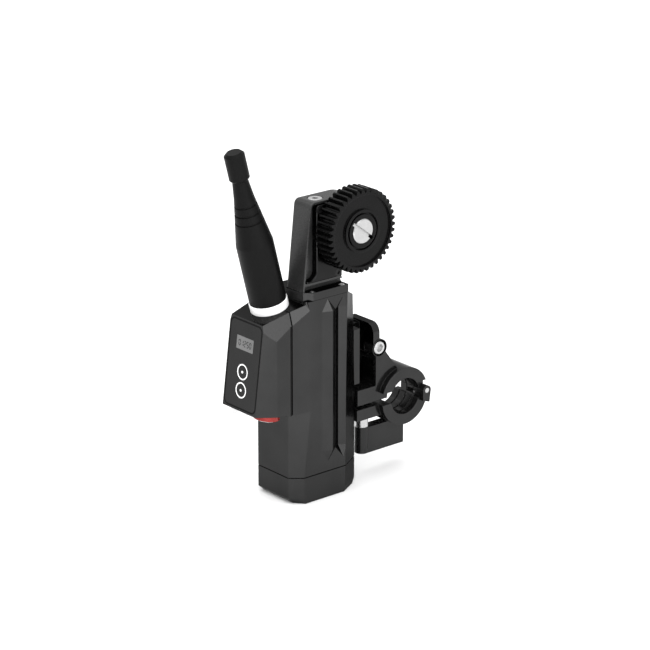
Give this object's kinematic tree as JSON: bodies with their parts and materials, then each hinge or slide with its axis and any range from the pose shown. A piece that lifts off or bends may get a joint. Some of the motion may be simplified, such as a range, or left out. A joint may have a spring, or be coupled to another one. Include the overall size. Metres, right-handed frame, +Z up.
{
  "type": "lens motor",
  "caption": "Compact camera lens motor: eight sided body, geared arm with a toothed drive wheel, radio module with antenna, and a hinged lever clamp for a round rod.",
  "frame": {"origin": "centre of the rod clamp's bore", "axes": "+X from the motor to the clamp, Y along the clamped rod with -Y on the drive gear's side, +Z up along the motor body"},
  "size_m": [0.0934, 0.0366, 0.1453],
  "materials": {
    "black_anodised": "satin black anodised",
    "black_plastic": "fine texture",
    "panel_black": "satin",
    "display_grey": "flat window",
    "white_plastic": "satin",
    "red_plastic": "satin",
    "antenna_rubber": "matt",
    "seal_rubber": "matt",
    "bright_steel": "turned",
    "dark_steel": "blackened",
    "bright_aluminium": "turned",
    "brass": "gold plated",
    "board": "solder mask"
  },
  "bodies": {
    "clamp": {"upper_jaw": "black_anodised", "pivot_bolt": "bright_steel"},
    "motor": {"motor_housing": "black_anodised", "end_cap": "black_anodised", "cap_seal": "seal_rubber", "cap_screws": "dark_steel", "motor_can": "bright_steel", "planetary_gearbox": "bright_aluminium", "angle_gearbox": "bright_aluminium", "encoder_board": "board", "control_board": "board", "foot_plate": "black_anodised", "plate_screws": "bright_steel", "gear_arm": "black_anodised", "arm_cover": "black_anodised", "cover_screws": "dark_steel", "top_screw": "bright_steel", "idler_axle_1": "bright_steel", "idler_axle_2": "bright_steel", "idler_axle_3": "bright_steel", "front_bearing": "bright_steel", "rear_bearing": "bright_steel", "module_shell": "black_anodised", "front_panel": "panel_black", "display": "display_grey", "button_rings": "white_plastic", "panel_board": "board", "connector_shells": "bright_aluminium", "connector_ring": "red_plastic", "connector_inserts": "black_plastic", "connector_pins": "brass", "antenna_socket": "brass", "antenna_ring": "white_plastic", "antenna": "antenna_rubber", "antenna_cap": "antenna_rubber", "console": "black_anodised", "console_screws": "dark_steel"},
    "lower_jaw": {"lower_jaw": "black_anodised", "hinge_pin": "bright_steel"},
    "lever": {"clamp_screw": "bright_steel", "thumb_lever": "black_anodised"},
    "output": {"drive_gear": "black_plastic", "gear_screw": "bright_steel", "output_shaft": "bright_steel", "output_wheel": "bright_steel"},
    "idler_1": {"idler_gear_1": "bright_steel"},
    "idler_2": {"idler_gear_2": "bright_steel"},
    "idler_3": {"idler_gear_3": "bright_steel"},
    "pinion": {"pinion": "bright_steel"},
    "rotor": {"motor_rotor": "bright_steel"},
    "button_1": {"button_1": "black_plastic", "button_dot_1": "white_plastic"},
    "button_2": {"button_2": "black_plastic", "button_dot_2": "white_plastic"}
  },
  "joints": [
    {"name": "motor_swing", "type": "hinge", "parent": "clamp", "child": "motor", "pos_m": [-0.01146, 0, 0.02244], "axis": [0, 1, 0], "range_deg": [0, 60]},
    {"name": "jaw_hinge", "type": "hinge", "parent": "clamp", "child": "lower_jaw", "pos_m": [0.0096, 0, 0.0008], "axis": [0, -1, 0], "range_deg": [0, 70]},
    {"name": "lever_turn", "type": "hinge", "parent": "lower_jaw", "child": "lever", "pos_m": [-0.0145, 0, -0.0062], "axis": [0, 0, 1], "range_deg": [-100, 100]},
    {"name": "drive_spin", "type": "hinge", "parent": "motor", "child": "output", "pos_m": [-0.0326, 0, 0.07865], "axis": [0, 1, 0], "continuous": true},
    {"name": "idler_1_spin", "type": "hinge", "parent": "motor", "child": "idler_1", "pos_m": [-0.04034, 0, 0.06759], "axis": [0, 1, 0], "continuous": true},
    {"name": "idler_2_spin", "type": "hinge", "parent": "motor", "child": "idler_2", "pos_m": [-0.04034, 0, 0.05859], "axis": [0, 1, 0], "continuous": true},
    {"name": "idler_3_spin", "type": "hinge", "parent": "motor", "child": "idler_3", "pos_m": [-0.04034, 0, 0.04959], "axis": [0, 1, 0], "continuous": true},
    {"name": "pinion_spin", "type": "hinge", "parent": "motor", "child": "pinion", "pos_m": [-0.04034, 0, 0.04209], "axis": [0, 1, 0], "continuous": true},
    {"name": "rotor_spin", "type": "hinge", "parent": "motor", "child": "rotor", "pos_m": [-0.04034, 0, 0], "axis": [0, 0, 1], "continuous": true},
    {"name": "button_1_press", "type": "slide", "parent": "motor", "child": "button_1", "axis": [0.9923, 0, -0.124], "range_m": [0, 0.0004], "stiffness_N_per_m": 200, "springref_m": -0.0002},
    {"name": "button_2_press", "type": "slide", "parent": "motor", "child": "button_2", "axis": [0.9923, 0, -0.124], "range_m": [0, 0.0004], "stiffness_N_per_m": 200, "springref_m": -0.0002}
  ],
  "couplings": [
    {"joint": "idler_1_spin", "follows": "drive_spin", "ratio": -2},
    {"joint": "idler_2_spin", "follows": "drive_spin", "ratio": 2},
    {"joint": "idler_3_spin", "follows": "drive_spin", "ratio": -2},
    {"joint": "pinion_spin", "follows": "drive_spin", "ratio": 3},
    {"joint": "rotor_spin", "follows": "drive_spin", "ratio": 15}
  ]
}
